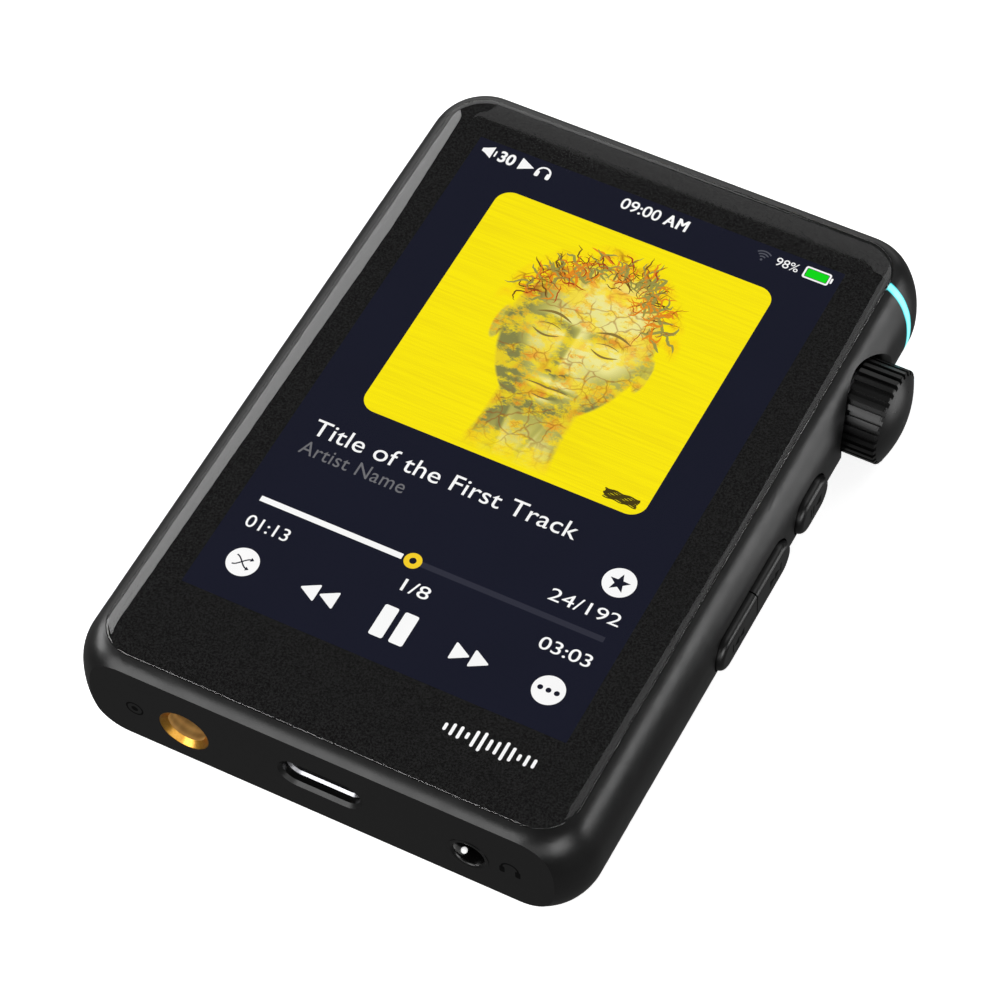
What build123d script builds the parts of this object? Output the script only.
from build123d import *

import os
from math import cos, radians, sin, sqrt

# A pocket digital audio player, in millimetres. The origin is the centre of its flat back,
# +X is the knob side, +Y the top end and +Z out of the screen.

# The slab: a rounded pillow whose two ends are cut off flat
WIDTH, DEPTH = 60.3, 14.2
ENDS_Y = (-43.3, 43.4)
END_CUT = 1.0  # how much of the pillow each flat end takes away
FRONT_SIDE_ROUND = (4.05, 7.0)  # how far the side's rounding reaches in from the side, and down
BACK_SIDE_ROUND = (4.7, 6.5)
FRONT_END_ROUND, BACK_END_ROUND = 3.7, 4.2
CORNER = 6.3
SLAB_ANGLES = [90, 80, 70, 60, 50, 38, 26, 13, 0]

# Top end: the joint of the antenna cap, with the light strip in its right side
SEAM_Y = 37.8
SEAM_GAP = 0.05
STRIP_WIDTH = 1.1
STRIP_DEPTH = 1.4
STRIP_INNER_CORNER = 4.4
STRIP_BACK_X = 24.9
LIGHT_PIPE_Z = (5.4, 8.6)
LIGHT_BOARD_X, LED_Z, LED = (26.0, 26.5), (6.2, 7.8), (0.25, 0.8)
CAP_HOLLOW_X, CAP_HOLLOW_DEEP, CAP_HOLLOW_Z = 25.0, 3.8, (2.2, 11.6)
CAP_SCREWS_X, CAP_BOSS_R, CAP_BOSS_LONG, CAP_SCREW_REACH = 19.0, 1.9, 4.2, 3.0
ANTENNA = (30.0, 0.3, (3.4, 10.4))

# Front: cover glass, adhesive, display
GLASS = (54.7, 83.8, 0.7)
GLASS_Y = 0.15
GLASS_TOP = 14.4
GLASS_CORNER = 4.5
GLASS_GAP = 0.05
GLASS_EDGE = (2.3, 0.45)  # the worn-soft edge: how far it reaches in, and down
GLUE = 0.1
PANEL = (47.2, 1.2)  # width and thickness
PANEL_Y = (-35.6, 37.2)
BACKLIGHT_THICK, BACKLIGHT_CORNER, BACKLIGHT_INSET = 1.3, 0.8, 3.2
LEAD_WIDE, LEAD_THICK, DRIVER_WIDE, DRIVER_THICK = 18.0, 0.2, 12.0, 0.9

# Back: bay and cover
PLATE_Z = (10.4, 11.0)  # the plate between the display and the electronics
BAY_X, BAY_Y, BAY_Z = 27.2, (-40.9, 35.4), 2.4
COVER = (47.8, 76.2, 1.0)
COVER_Y = -2.5
COVER_CORNER = 4.0
COVER_GAP = 0.1
COVER_GLUE = 0.2
LEDGE = 1.5

# Ports in the bottom end
END_Y = ENDS_Y[0]
PORT_Z = 6.42
BALANCED_X, BALANCED_R, BALANCED_DEEP = -16.0, 2.25, 19.5
SLEEVE_R, SLEEVE_LONG, SLEEVE_SET_BACK, SLEEVE_MOUTH = 2.95, 4.4, 0.03, 0.6
PHONE_X, PHONE_R, PHONE_DEEP = 17.4, 1.8, 14.0
COLLAR_R, COLLAR_LONG, COLLAR_PROUD, COLLAR_SOFT = 2.4, 3.4, 0.05, 0.35
BALANCED_BODY, PHONE_BODY = (7.0, 5.6), (6.2, 5.6)
USB_X, USB_Z, USB_SET_BACK = 0.2, 7.45, 1.1
USB_SHELL, USB_WALL, USB_LONG = (8.94, 3.16), 0.3, 7.3
USB_FLARE = 0.28  # the shell's mouth opens at 45 degrees, almost to a sharp edge
USB_CUT, USB_MOUTH_CHAMFER = (9.2, 3.42), 0.4
USB_INSIDE = (USB_SHELL[0] - 2 * USB_WALL, USB_SHELL[1] - 2 * USB_WALL)
USB_TONGUE, USB_BLOCK = (6.7, 0.7, 4.6), 1.6
USB_TABS_X, USB_TAB = 3.4, 1.0

# Board and what it carries; parts hang from its underside at BOARD_Z[0]
BOARD_Z = (9.4, 10.2)
BOARD_X, BOARD_Y = 22.3, (-40.4, 34.3)
BOARD_SCREWS = [(-21.0, 33.0), (21.0, 33.0), (-21.0, -25.5), (21.0, -25.5)]
SCREW_R, SCREW_HEAD_R, SCREW_HEAD = 0.7, 1.2, 0.6
CAN_WALL, CAN_CORNER, CAN_HIGH = 0.2, 0.5, 1.6
PROCESSOR_CAN = ((-17.0, 1.0), (8.0, 28.0))
AUDIO_CAN = ((-4.0, 16.0), (-16.0, -2.0))
CHIPS = [  # centre x and y, size along x and y, height
    (-4.5, -28.0, 6.0, 6.0, 0.9),
    (5.0, -28.5, 5.0, 5.0, 0.9),
    (10.0, -21.5, 4.0, 3.0, 1.4),
    (-8.5, -21.5, 3.2, 2.5, 0.8),
    (0.5, -22.0, 3.2, 1.6, 0.7),
]
BATTERY, BATTERY_CORNER = ((-21.6, 19.6), (-18.0, 33.2), (1.6, 7.6)), 1.0
BATTERY_PAD = ((-16.0, 14.0), (-12.0, 28.0))
BATTERY_PLUG_X = (-8.0, -2.0)
CARD_Y, CARD_Z, CARD = -14.0, 8.5, (12.2, 1.3)
SOCKET_X, SOCKET_WIDE, SOCKET_MOUTH = (-27.0, -12.6), 14.0, (11.6, 1.1)

# Knob on the right side
KNOB_Y, KNOB_Z = 25.95, 6.9
KNOB_R, KNOB_X, KNOB_DOME, KNOB_EDGE = 5.47, (28.9, 33.5), 1.2, 0.2
RIBS, GROOVE_WIDE, GROOVE_DEEP, GROOVE_END_X = 30, 0.55, 0.45, 34.0
KNOB_RECESS_R, KNOB_RECESS_X, KNOB_RECESS_LIP = 5.8, 28.2, 1.3
LIP_OVER = 0.03  # the lip's arc ends this far outside the side, so that it meets it at a small angle
KNOB_HOLLOW_R, HUB_R, HUB_X = 4.3, 2.4, 30.1
SHAFT_R, SHAFT_X, RUNNING_FIT = 1.5, (22.45, 32.3), 0.05
BUSH_R, BUSH_X = 2.9, (27.1, 29.3)
ENCODER = ((20.4, 27.1), 9.6, (3.6, 10.2))
NUT_R, NUT_THICK = 3.75, 0.9
PLUNGER_R, PLUNGER_X, PUSH = 1.8, (21.2, 22.4), 0.4

# Keys on the right side
KEY_Z, KEY_HIGH, KEY_PROUD, KEY_SOFT = 7.0, 4.7, 0.72, 0.7
PLAY_Y, PLAY_LONG = 11.35, 7.3
SKIP_Y, SKIP_LONG, SKIP_SPLIT = -3.2, 17.3, 0.2
KEY_GAP = 0.2
KEY_FLANGE, KEY_FLANGE_THICK, KEY_NUB_R, KEY_NUB = 0.5, 0.7, 0.8, 0.35
KEY_BOARD_X, SWITCH_HIGH = (24.2, 24.8), 0.85
SKIP_KEYS_Y = (SKIP_Y + SKIP_LONG / 4, SKIP_Y - SKIP_LONG / 4)


def span(x, y, z):
    """A block from its low and high values along each axis."""
    size = (x[1] - x[0], y[1] - y[0], z[1] - z[0])
    middle = ((x[0] + x[1]) / 2, (y[0] + y[1]) / 2, (z[0] + z[1]) / 2)
    return Pos(*middle) * Box(*size)


def rod(radius, start, end, direction="y"):
    """A cylinder from one point to another, along x, y or z."""
    turn = {"x": Rot(0, 90, 0), "y": Rot(90, 0, 0), "z": Rot(0, 0, 0)}[direction]
    axis = "xyz".index(direction)
    middle = [(a + b) / 2 for a, b in zip(start, end)]
    return Pos(*middle) * turn * Cylinder(radius, abs(end[axis] - start[axis]))


def plate(width, length, corner, y, z):
    """A rounded plate lying flat, from z[0] to z[1]."""
    return Pos(0, y, z[0]) * extrude(RectangleRounded(width, length, corner), z[1] - z[0])


def end_slot(wide, high, x, y, z):
    """A slot-shaped prism along Y, from y[0] to y[1]."""
    face = Plane((x, y[0], z), x_dir=(1, 0, 0), z_dir=(0, 1, 0)) * SlotOverall(wide, high)
    return extrude(face, y[1] - y[0])


def end_funnel(wide, high, x, y, z, grow):
    """A slot-shaped prism along Y, wider by grow all round at y[0] and narrowing evenly to y[1]."""
    ends = []
    for level, more in zip(y, (grow, 0.0)):
        plane = Plane((x, level, z), x_dir=(1, 0, 0), z_dir=(0, 1, 0))
        ends.append(plane * SlotOverall(wide + 2 * more, high + 2 * more))
    return loft(ends)


def side_slot(long, high, y, x):
    """A slot-shaped prism along X at the height of the keys, from x[0] to x[1]."""
    face = Plane((x[0], y, KEY_Z), x_dir=(0, 1, 0), z_dir=(1, 0, 0)) * SlotOverall(long, high)
    return extrude(face, x[1] - x[0])


def drop(z, front, back):
    """How far a rounding has come in at height z; front and back are (reach, height)."""
    for reach, height, depth in ((*front, z - DEPTH + front[1]), (*back, back[1] - z)):
        if depth > 0:
            return reach * (1 - sqrt(max(0.0, 1 - (depth / height) ** 2)))
    return 0.0


def slab():
    """The whole outer form: a pillow lofted through level sections, then cut off flat at both ends."""
    back = [BACK_SIDE_ROUND[1] * (1 - sin(radians(a))) for a in SLAB_ANGLES]
    front = [DEPTH - FRONT_SIDE_ROUND[1] * (1 - sin(radians(a))) for a in reversed(SLAB_ANGLES)]
    middle_y = sum(ENDS_Y) / 2
    long = ENDS_Y[1] - ENDS_Y[0] + 2 * END_CUT
    sections = []
    for z in back + front:
        side = drop(z, FRONT_SIDE_ROUND, BACK_SIDE_ROUND)
        end = drop(z, (FRONT_END_ROUND, FRONT_END_ROUND), (BACK_END_ROUND, BACK_END_ROUND))
        outline = RectangleRounded(WIDTH - 2 * side, long - 2 * end, CORNER - min(side, end))
        sections.append(Pos(0, middle_y, z) * outline)
    return loft(sections) & span((-WIDTH, WIDTH), ENDS_Y, (-1, DEPTH + 1))


SLAB = slab()
RIGHT, LEFT = WIDTH / 2, -WIDTH / 2
SEAT_Z = GLASS_TOP - GLASS[2] - GLUE
STRIP_Y = (SEAM_Y - STRIP_WIDTH, SEAM_Y)


def glass_pocket():
    size = (GLASS[0] + 2 * GLASS_GAP, GLASS[1] + 2 * GLASS_GAP)
    return plate(*size, GLASS_CORNER + GLASS_GAP, GLASS_Y, (SEAT_Z, GLASS_TOP + 1))


def strip_block():
    """The stretch of the right side that the light strip fills."""
    outer = span((STRIP_BACK_X, RIGHT + 1), STRIP_Y, (-1, DEPTH + 1))
    section = RectangleRounded(WIDTH - 2 * STRIP_DEPTH, DEPTH - 2 * STRIP_DEPTH, STRIP_INNER_CORNER)
    inner = Plane((0, STRIP_Y[0] - 1, DEPTH / 2), x_dir=(1, 0, 0), z_dir=(0, 1, 0)) * section
    pipe = span((BAY_X - 0.4, RIGHT - STRIP_DEPTH + 0.2), STRIP_Y, LIGHT_PIPE_Z)
    return outer - extrude(inner, STRIP_WIDTH + 2) + pipe


def light_strip():
    return (SLAB & strip_block()) - glass_pocket()


def knob_recess():
    """The round recess that the knob stands in, with a soft lip that runs out into the side."""
    lip = KNOB_RECESS_LIP
    top_x = RIGHT + LIP_OVER
    wall_x, wide = top_x - lip, KNOB_RECESS_R + lip
    bend = lip * sin(radians(45))
    outline = [
        Line((KNOB_RECESS_X, 0), (KNOB_RECESS_X, KNOB_RECESS_R)),
        Line((KNOB_RECESS_X, KNOB_RECESS_R), (wall_x, KNOB_RECESS_R)),
        ThreePointArc((wall_x, KNOB_RECESS_R), (wall_x + bend, wide - bend), (top_x, wide)),
        Line((top_x, wide), (top_x, 0)),
        Line((top_x, 0), (KNOB_RECESS_X, 0)),
    ]
    return Pos(0, KNOB_Y, KNOB_Z) * revolve(make_face(outline), Axis.X)


def cap_screw_places():
    return [(side * CAP_SCREWS_X, KNOB_Z) for side in (-1, 1)]


def main_housing():
    body = SLAB & span((LEFT - 1, RIGHT + 1), (END_Y - 1, SEAM_Y - SEAM_GAP), (-1, DEPTH + 1))
    body -= glass_pocket()
    screen_bay = (PANEL[0] / 2 + 0.2, PANEL_Y[0] - 0.3)
    body -= span((-screen_bay[0], screen_bay[0]), (screen_bay[1], SEAM_Y + 1), (PLATE_Z[1], DEPTH))
    body -= plate(COVER[0] + 2 * COVER_GAP, COVER[1] + 2 * COVER_GAP, COVER_CORNER, COVER_Y, (-1, 1.2))
    body -= plate(COVER[0] - 2 * LEDGE, COVER[1] - 2 * LEDGE, 2.5, COVER_Y, (0, BAY_Z + 0.1))
    body -= span((-BAY_X, BAY_X), BAY_Y, (BAY_Z, PLATE_Z[0]))
    body -= strip_block()
    body -= span((17.5, BAY_X), (BAY_Y[1] - 1, SEAM_Y), LIGHT_PIPE_Z)
    # ports
    body -= rod(SLEEVE_R, (BALANCED_X, END_Y - 1, PORT_Z), (BALANCED_X, BAY_Y[0] + 1, PORT_Z))
    body -= rod(COLLAR_R, (PHONE_X, END_Y - 1, PORT_Z), (PHONE_X, BAY_Y[0] + 1, PORT_Z))
    body -= end_slot(*USB_CUT, USB_X, (END_Y - 1, BAY_Y[0] + 1), USB_Z)
    mouth_y = (END_Y - 0.1, END_Y + USB_MOUTH_CHAMFER)
    body -= end_funnel(*USB_CUT, USB_X, mouth_y, USB_Z, mouth_y[1] - mouth_y[0])
    # right side: knob recess, bush hole and key holes
    body -= knob_recess()
    body -= rod(BUSH_R + 0.05, (BAY_X - 1, KNOB_Y, KNOB_Z), (RIGHT, KNOB_Y, KNOB_Z), "x")
    for y, long in ((PLAY_Y, PLAY_LONG), (SKIP_Y, SKIP_LONG)):
        body -= side_slot(long + 2 * KEY_GAP, KEY_HIGH + 2 * KEY_GAP, y, (BAY_X - 1, RIGHT + 1))
    # left side: the memory card's slot
    slot_y = (CARD_Y - CARD[0] / 2, CARD_Y + CARD[0] / 2)
    slot_z = (CARD_Z - CARD[1] / 2, CARD_Z + CARD[1] / 2)
    body -= span((LEFT - 1, -BAY_X + 1), slot_y, slot_z)
    for x, y in BOARD_SCREWS:
        body += rod(1.4, (x, y, BOARD_Z[1]), (x, y, PLATE_Z[0] + 0.1), "z")
        body -= rod(SCREW_R, (x, y, BOARD_Z[1] - 1), (x, y, PLATE_Z[1] - 0.1), "z")
    for x, z in cap_screw_places():
        body -= rod(SCREW_R + 0.1, (x, BAY_Y[1] - 1, z), (x, SEAM_Y, z))
    return body


def antenna_cap():
    body = SLAB & span((LEFT - 1, RIGHT + 1), (SEAM_Y, ENDS_Y[1] + 1), (-1, DEPTH + 1))
    body -= glass_pocket()
    body -= span((-CAP_HOLLOW_X, CAP_HOLLOW_X), (SEAM_Y - 1, SEAM_Y + CAP_HOLLOW_DEEP), CAP_HOLLOW_Z)
    for x, z in cap_screw_places():
        body += rod(CAP_BOSS_R, (x, SEAM_Y, z), (x, SEAM_Y + CAP_BOSS_LONG, z))
        body -= rod(SCREW_R, (x, SEAM_Y - 1, z), (x, SEAM_Y + CAP_SCREW_REACH + 0.2, z))
    return body


def antenna_flex():
    """The antenna, glued to the floor of the cap's hollow."""
    wide, thick, z = ANTENNA
    floor_y = SEAM_Y + CAP_HOLLOW_DEEP
    return span((-wide / 2, wide / 2), (floor_y - thick, floor_y), z)


def cap_screws():
    screws = []
    for x, z in cap_screw_places():
        shank = rod(SCREW_R, (x, BAY_Y[1] - 0.1, z), (x, SEAM_Y + CAP_SCREW_REACH, z))
        screws.append(shank + rod(SCREW_HEAD_R, (x, BAY_Y[1] - SCREW_HEAD, z), (x, BAY_Y[1], z)))
    return Compound(screws)


def light_board():
    """The little board behind the light strip, with its two LEDs."""
    thick, wide = LED
    board = span(LIGHT_BOARD_X, (STRIP_Y[0] - 0.4, STRIP_Y[1] - 0.1), LIGHT_PIPE_Z)
    for z in LED_Z:
        led_x = (LIGHT_BOARD_X[1] - 0.1, LIGHT_BOARD_X[1] + thick)
        board += span(led_x, (STRIP_Y[0] + 0.1, STRIP_Y[1] - 0.2), (z - wide / 2, z + wide / 2))
    return board


def front_glass():
    """The cover glass: a rounded plate whose upper edge falls away in an elliptical curve."""
    reach, fall = GLASS_EDGE
    bottom = GLASS_TOP - GLASS[2]
    angles = [radians(a) for a in (0, 10, 20, 30, 45, 60, 75, 90)]
    steps = [(reach * (1 - cos(a)), GLASS_TOP - fall * (1 - sin(a))) for a in angles]
    flat = plate(GLASS[0], GLASS[1], GLASS_CORNER, GLASS_Y, (bottom, GLASS_TOP - fall))
    levels = []
    for inset, z in steps:
        outline = RectangleRounded(GLASS[0] - 2 * inset, GLASS[1] - 2 * inset, GLASS_CORNER - inset)
        levels.append(Pos(0, GLASS_Y, z) * outline)
    return flat + loft(levels)


def glass_adhesive():
    outer = plate(GLASS[0] - 0.6, GLASS[1] - 0.6, GLASS_CORNER - 0.3, GLASS_Y, (SEAT_Z, SEAT_Z + GLUE))
    inner_y = (PANEL_Y[0] - 0.5, PANEL_Y[1] + 0.7)
    return outer - span((-PANEL[0] / 2 - 0.5, PANEL[0] / 2 + 0.5), inner_y, (SEAT_Z - 1, DEPTH))


def display_panel():
    top = GLASS_TOP - GLASS[2]
    return span((-PANEL[0] / 2, PANEL[0] / 2), PANEL_Y, (top - PANEL[1], top))


def display_backlight():
    top = GLASS_TOP - GLASS[2] - PANEL[1]
    low_y = PANEL_Y[0] + BACKLIGHT_INSET
    tray = span((-PANEL[0] / 2, PANEL[0] / 2), (low_y, PANEL_Y[1]), (top - BACKLIGHT_THICK, top))
    return fillet(tray.edges().filter_by(Axis.Z), BACKLIGHT_CORNER)


def display_flex():
    """The flat lead at the display's lower edge, with its driver's stiffener."""
    top = GLASS_TOP - GLASS[2] - PANEL[1]
    lead_y = (PANEL_Y[0] + 0.2, PANEL_Y[0] + BACKLIGHT_INSET - 0.2)
    driver_y = (lead_y[0] + 0.4, lead_y[1] - 0.4)
    lead = span((-LEAD_WIDE / 2, LEAD_WIDE / 2), lead_y, (top - LEAD_THICK, top))
    return lead + span((-DRIVER_WIDE / 2, DRIVER_WIDE / 2), driver_y, (top - DRIVER_THICK, top - 0.1))


def rear_cover():
    panel = plate(COVER[0], COVER[1], COVER_CORNER - COVER_GAP, COVER_Y, (0, COVER[2]))
    return chamfer(panel.faces().sort_by(Axis.Z)[0].edges(), 0.15)


def rear_adhesive():
    z = (COVER[2], COVER[2] + COVER_GLUE)
    ring = plate(COVER[0] - 0.5, COVER[1] - 0.5, COVER_CORNER - 0.3, COVER_Y, z)
    hole = (COVER[0] - 2 * LEDGE + 0.3, COVER[1] - 2 * LEDGE + 0.3)
    return ring - plate(*hole, 2.6, COVER_Y, (z[0] - 1, z[1] + 1))


def main_board():
    board = span((-BOARD_X, BOARD_X), BOARD_Y, BOARD_Z)
    notch_y = (KNOB_Y - ENCODER[1] / 2 - 0.4, KNOB_Y + ENCODER[1] / 2 + 0.4)
    board -= span((ENCODER[0][0] - 0.4, BOARD_X + 1), notch_y, (BOARD_Z[0] - 1, BOARD_Z[1] + 1))
    for x, y in BOARD_SCREWS:
        board -= rod(SCREW_R + 0.1, (x, y, BOARD_Z[0] - 1), (x, y, BOARD_Z[1] + 1), "z")
    return board


def board_screws():
    screws = []
    for x, y in BOARD_SCREWS:
        shank = rod(SCREW_R, (x, y, BOARD_Z[0] - 0.1), (x, y, PLATE_Z[1] - 0.2), "z")
        screws.append(shank + rod(SCREW_HEAD_R, (x, y, BOARD_Z[0] - SCREW_HEAD), (x, y, BOARD_Z[0]), "z"))
    return Compound(screws)


def shield_can(x, y):
    """A pressed can, open towards the board it hangs from."""
    z = (BOARD_Z[0] - CAN_HIGH, BOARD_Z[0])
    inner = [(low + CAN_WALL, top - CAN_WALL) for low, top in (x, y)]
    can = fillet(span(x, y, z).edges().filter_by(Axis.Z), CAN_CORNER)
    return can - span(*inner, (z[0] + CAN_WALL, z[1] + 1))


def chips():
    bodies = []
    for x, y, wide, long, high in CHIPS:
        sides = (x - wide / 2, x + wide / 2), (y - long / 2, y + long / 2)
        bodies.append(span(*sides, (BOARD_Z[0] - high, BOARD_Z[0])))
    return Compound(bodies)


def battery():
    return fillet(span(*BATTERY).edges().filter_by(Axis.Y), BATTERY_CORNER)


def battery_pad():
    return span(*BATTERY_PAD, (COVER[2], BATTERY[2][0]))


def battery_connector():
    y = (BATTERY[1][0] - 1.2, BATTERY[1][0] - 0.2)
    return span(BATTERY_PLUG_X, y, (BATTERY[2][1], BOARD_Z[0]))


def jack_body(x, radius, depth, block, start_y):
    """A jack's moulded block behind its ring, bored on from it and closed at the back."""
    wide, high = block
    bottom_y = END_Y + depth + 1.0
    z = (BOARD_Z[0] - high, BOARD_Z[0])
    body = span((x - wide / 2, x + wide / 2), (start_y, bottom_y), z)
    return body - rod(radius, (x, start_y - 1, PORT_Z), (x, END_Y + depth, PORT_Z))


def ring(x, outer, inner, y, mouth):
    """A jack's ring with a chamfered mouth."""
    body = rod(outer, (x, y[0], PORT_Z), (x, y[1], PORT_Z))
    body -= rod(inner, (x, y[0] - 1, PORT_Z), (x, y[1] + 1, PORT_Z))
    edge = body.edges().filter_by(GeomType.CIRCLE).group_by(Axis.Y)[0].sort_by(SortBy.RADIUS)[0]
    return chamfer(edge, mouth)


def balanced_jack_sleeve():
    start = END_Y + SLEEVE_SET_BACK
    return ring(BALANCED_X, SLEEVE_R, BALANCED_R, (start, start + SLEEVE_LONG), SLEEVE_MOUTH)


def balanced_jack_body():
    start = END_Y + SLEEVE_SET_BACK + SLEEVE_LONG
    return jack_body(BALANCED_X, BALANCED_R, BALANCED_DEEP, BALANCED_BODY, start)


def headphone_jack_collar():
    start = END_Y - COLLAR_PROUD
    body = rod(COLLAR_R, (PHONE_X, start, PORT_Z), (PHONE_X, start + COLLAR_LONG, PORT_Z))
    body -= rod(PHONE_R, (PHONE_X, start - 1, PORT_Z), (PHONE_X, start + COLLAR_LONG + 1, PORT_Z))
    mouth = body.edges().filter_by(GeomType.CIRCLE).group_by(Axis.Y)[0].sort_by(SortBy.RADIUS)[0]
    return fillet(mouth, COLLAR_SOFT)


def headphone_jack_body():
    start = END_Y - COLLAR_PROUD + COLLAR_LONG
    return jack_body(PHONE_X, PHONE_R, PHONE_DEEP, PHONE_BODY, start)


def usb_c_shell():
    y = (END_Y + USB_SET_BACK, END_Y + USB_SET_BACK + USB_LONG)
    outer = end_slot(*USB_SHELL, USB_X, y, USB_Z)
    inner = end_slot(*USB_INSIDE, USB_X, (y[0] - 1, y[1] + 1), USB_Z)
    flare_y = (y[0] - 0.1, y[0] + USB_FLARE)
    shell = outer - inner - end_funnel(*USB_INSIDE, USB_X, flare_y, USB_Z, flare_y[1] - flare_y[0])
    tab_z = (USB_Z + USB_SHELL[1] / 2 - USB_WALL / 2, BOARD_Z[0])
    for x in (USB_X - USB_TABS_X, USB_X + USB_TABS_X):
        for tab_y in (y[0] + 2.0, y[1] - 1.5):
            shell += span((x - USB_TAB / 2, x + USB_TAB / 2), (tab_y, tab_y + USB_TAB), tab_z)
    return shell


def usb_c_tongue():
    """The contact blade and the moulded block that carries it."""
    back_y = END_Y + USB_SET_BACK + USB_LONG
    block_y = back_y - USB_BLOCK
    wide, thick, long = USB_TONGUE
    block = end_slot(*USB_INSIDE, USB_X, (block_y, back_y), USB_Z)
    blade_x = (USB_X - wide / 2, USB_X + wide / 2)
    blade = span(blade_x, (block_y - long, block_y + 0.1), (USB_Z - thick / 2, USB_Z + thick / 2))
    tip = blade.faces().sort_by(Axis.Y)[0].edges().filter_by(Axis.X)
    return chamfer(tip, 0.2) + block


def card_socket():
    """A tin cage on the board's underside, open towards the slot in the left side."""
    y = (CARD_Y - SOCKET_WIDE / 2, CARD_Y + SOCKET_WIDE / 2)
    cage = span(SOCKET_X, y, (CARD_Z - 0.9, BOARD_Z[0]))
    wide, high = SOCKET_MOUTH
    mouth_y = (CARD_Y - wide / 2, CARD_Y + wide / 2)
    mouth_z = (CARD_Z - high / 2, CARD_Z + high / 2)
    return cage - span((SOCKET_X[0] - 1, SOCKET_X[1] - 1), mouth_y, mouth_z)


def volume_knob():
    """A hollow knob whose axial grooves run out through the rim of its domed end."""
    at = (KNOB_Y, KNOB_Z)
    inner_x, end_x = KNOB_X
    soft_r = KNOB_R - KNOB_EDGE
    ball_r = (soft_r**2 + KNOB_DOME**2) / (2 * KNOB_DOME)
    dome_x = end_x + KNOB_DOME - ball_r + sqrt(ball_r**2 - (soft_r / 2) ** 2)
    bend = KNOB_EDGE * sin(radians(45))
    edge_x = end_x - KNOB_EDGE
    outline = [
        Line((inner_x, 0), (inner_x, KNOB_R)),
        Line((inner_x, KNOB_R), (edge_x, KNOB_R)),
        ThreePointArc((edge_x, KNOB_R), (edge_x + bend, soft_r + bend), (end_x, soft_r)),
        ThreePointArc((end_x, soft_r), (dome_x, soft_r / 2), (end_x + KNOB_DOME, 0)),
        Line((end_x + KNOB_DOME, 0), (inner_x, 0)),
    ]
    body = Pos(0, *at) * revolve(make_face(outline), Axis.X)
    groove_x = (KNOB_X[0] - 1, GROOVE_END_X)
    for i in range(RIBS):
        cut = span(groove_x, (KNOB_R - GROOVE_DEEP, KNOB_R + 1), (-GROOVE_WIDE / 2, GROOVE_WIDE / 2))
        body -= Pos(0, *at) * Rot((i + 0.5) * 360 / RIBS, 0, 0) * cut
    hollow = rod(KNOB_HOLLOW_R, (KNOB_X[0] - 1, *at), (HUB_X + 1.9, *at), "x")
    body -= hollow - rod(HUB_R, (HUB_X, *at), (HUB_X + 3, *at), "x")
    return body - rod(SHAFT_R, (HUB_X - 1, *at), (SHAFT_X[1], *at), "x")


def knob_shaft():
    return rod(SHAFT_R, (SHAFT_X[0], KNOB_Y, KNOB_Z), (SHAFT_X[1], KNOB_Y, KNOB_Z), "x")


def encoder_body():
    x, wide, z = ENCODER
    at = (KNOB_Y, KNOB_Z)
    body = span(x, (KNOB_Y - wide / 2, KNOB_Y + wide / 2), z)
    body -= rod(SHAFT_R + 0.2, (x[0] + 1, *at), (x[1] + 1, *at), "x")
    return body - rod(PLUNGER_R + 0.1, (PLUNGER_X[0] - PUSH - 0.1, *at), (PLUNGER_X[1] + 0.3, *at), "x")


def encoder_plunger():
    return rod(PLUNGER_R, (PLUNGER_X[0], KNOB_Y, KNOB_Z), (PLUNGER_X[1], KNOB_Y, KNOB_Z), "x")


def encoder_bush():
    at = (KNOB_Y, KNOB_Z)
    body = rod(BUSH_R, (BUSH_X[0], *at), (BUSH_X[1], *at), "x")
    return body - rod(SHAFT_R + RUNNING_FIT, (BUSH_X[0] - 1, *at), (BUSH_X[1] + 1, *at), "x")


def encoder_nut():
    x = (KNOB_RECESS_X, KNOB_RECESS_X + NUT_THICK)
    face = Plane((x[0], KNOB_Y, KNOB_Z), x_dir=(0, 1, 0), z_dir=(1, 0, 0)) * RegularPolygon(NUT_R, 6)
    hole = rod(BUSH_R, (x[0] - 1, KNOB_Y, KNOB_Z), (x[1] + 1, KNOB_Y, KNOB_Z), "x")
    return extrude(face, x[1] - x[0]) - hole


def key(y, long, half=0):
    """A key cap with soft outer edges, its inner flange and the nub that meets the switch.

    half is 1 or -1 for the upper or lower part of a slot that two keys share."""
    inner_x = BAY_X - 0.06
    flange_x = (inner_x - KEY_FLANGE_THICK, inner_x)
    ends = [y - long / 2, y + long / 2]
    flange_ends = [ends[0] - KEY_FLANGE, ends[1] + KEY_FLANGE]
    cap = side_slot(long, KEY_HIGH, y, (inner_x - 0.1, RIGHT + KEY_PROUD))
    cap = fillet(cap.faces().sort_by(Axis.X)[-1].edges(), KEY_SOFT)
    if half:
        split = 0 if half > 0 else 1
        ends[split] = flange_ends[split] = y + half * SKIP_SPLIT / 2
        cap &= span((0, RIGHT + 2), ends, (0, DEPTH))
    high = KEY_HIGH / 2 + KEY_FLANGE
    flange = span(flange_x, flange_ends, (KEY_Z - high, KEY_Z + high))
    middle = sum(ends) / 2
    nub = rod(KEY_NUB_R, (flange_x[0] - KEY_NUB, middle, KEY_Z), (flange_x[0] + 0.1, middle, KEY_Z), "x")
    return cap + flange + nub


def play_key():
    return key(PLAY_Y, PLAY_LONG)


def previous_key():
    return key(SKIP_Y, SKIP_LONG, 1)


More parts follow.
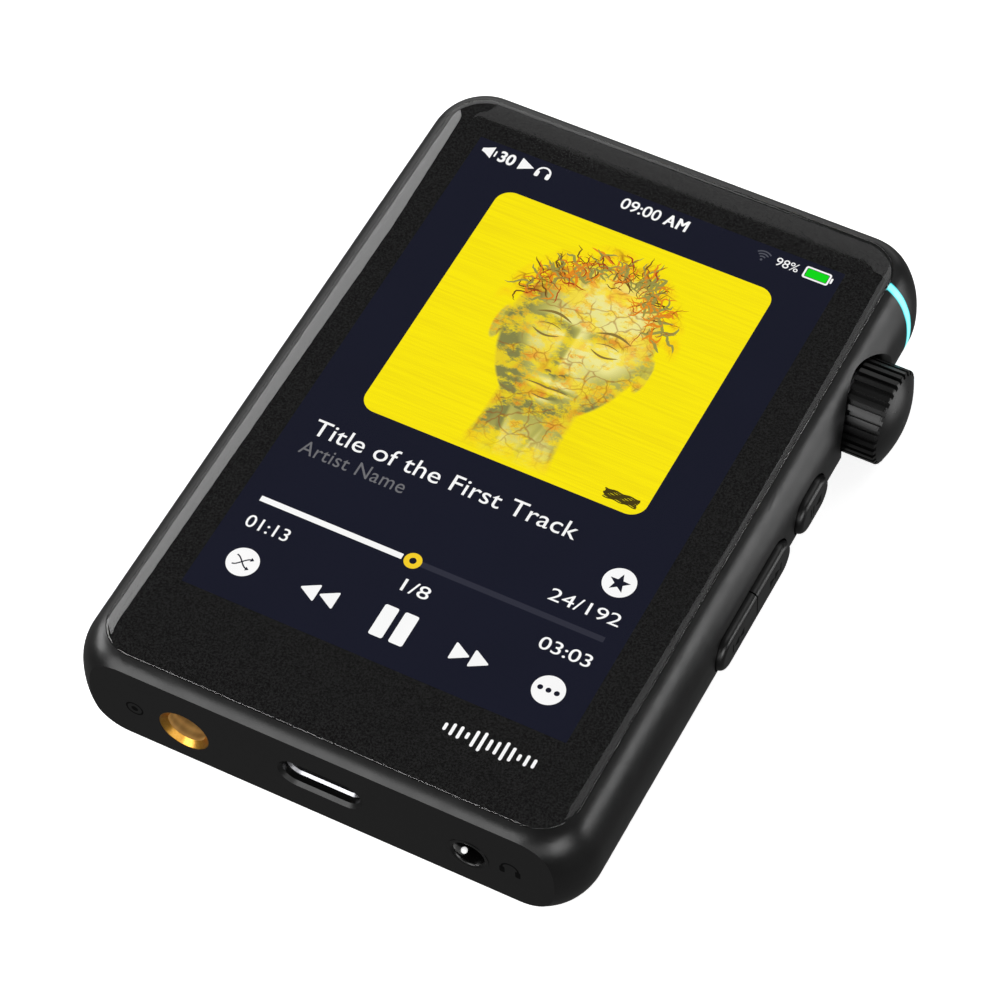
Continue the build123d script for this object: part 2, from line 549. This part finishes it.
def next_key():
    return key(SKIP_Y, SKIP_LONG, -1)


def key_board():
    return span(KEY_BOARD_X, (SKIP_Y - SKIP_LONG / 2 - 1, PLAY_Y + PLAY_LONG / 2 + 1), (4.4, 9.3))


def key_switches():
    x = (KEY_BOARD_X[1], KEY_BOARD_X[1] + SWITCH_HIGH)
    switches = []
    for y in (PLAY_Y, *SKIP_KEYS_Y):
        case = span((x[0], x[1] - 0.3), (y - 1.5, y + 1.5), (KEY_Z - 1.3, KEY_Z + 1.3))
        switches.append(case + rod(0.9, (x[1] - 0.4, y, KEY_Z), (x[1], y, KEY_Z), "x"))
    return Compound(switches)


NODES = {
    "main_housing": main_housing,
    "antenna_cap": antenna_cap,
    "antenna_flex": antenna_flex,
    "cap_screws": cap_screws,
    "light_strip": light_strip,
    "light_board": light_board,
    "front_glass": front_glass,
    "glass_adhesive": glass_adhesive,
    "display_panel": display_panel,
    "display_backlight": display_backlight,
    "display_flex": display_flex,
    "rear_cover": rear_cover,
    "rear_adhesive": rear_adhesive,
    "main_board": main_board,
    "board_screws": board_screws,
    "processor_shield": lambda: shield_can(*PROCESSOR_CAN),
    "audio_shield": lambda: shield_can(*AUDIO_CAN),
    "chips": chips,
    "battery": battery,
    "battery_pad": battery_pad,
    "battery_connector": battery_connector,
    "balanced_jack_sleeve": balanced_jack_sleeve,
    "balanced_jack_body": balanced_jack_body,
    "headphone_jack_collar": headphone_jack_collar,
    "headphone_jack_body": headphone_jack_body,
    "usb_c_shell": usb_c_shell,
    "usb_c_tongue": usb_c_tongue,
    "card_socket": card_socket,
    "volume_knob": volume_knob,
    "knob_shaft": knob_shaft,
    "encoder_body": encoder_body,
    "encoder_plunger": encoder_plunger,
    "encoder_bush": encoder_bush,
    "encoder_nut": encoder_nut,
    "play_key": play_key,
    "previous_key": previous_key,
    "next_key": next_key,
    "key_board": key_board,
    "key_switches": key_switches,
}

os.makedirs("parts", exist_ok=True)
for name, make in NODES.items():
    export_step(make(), f"parts/{name}.step")
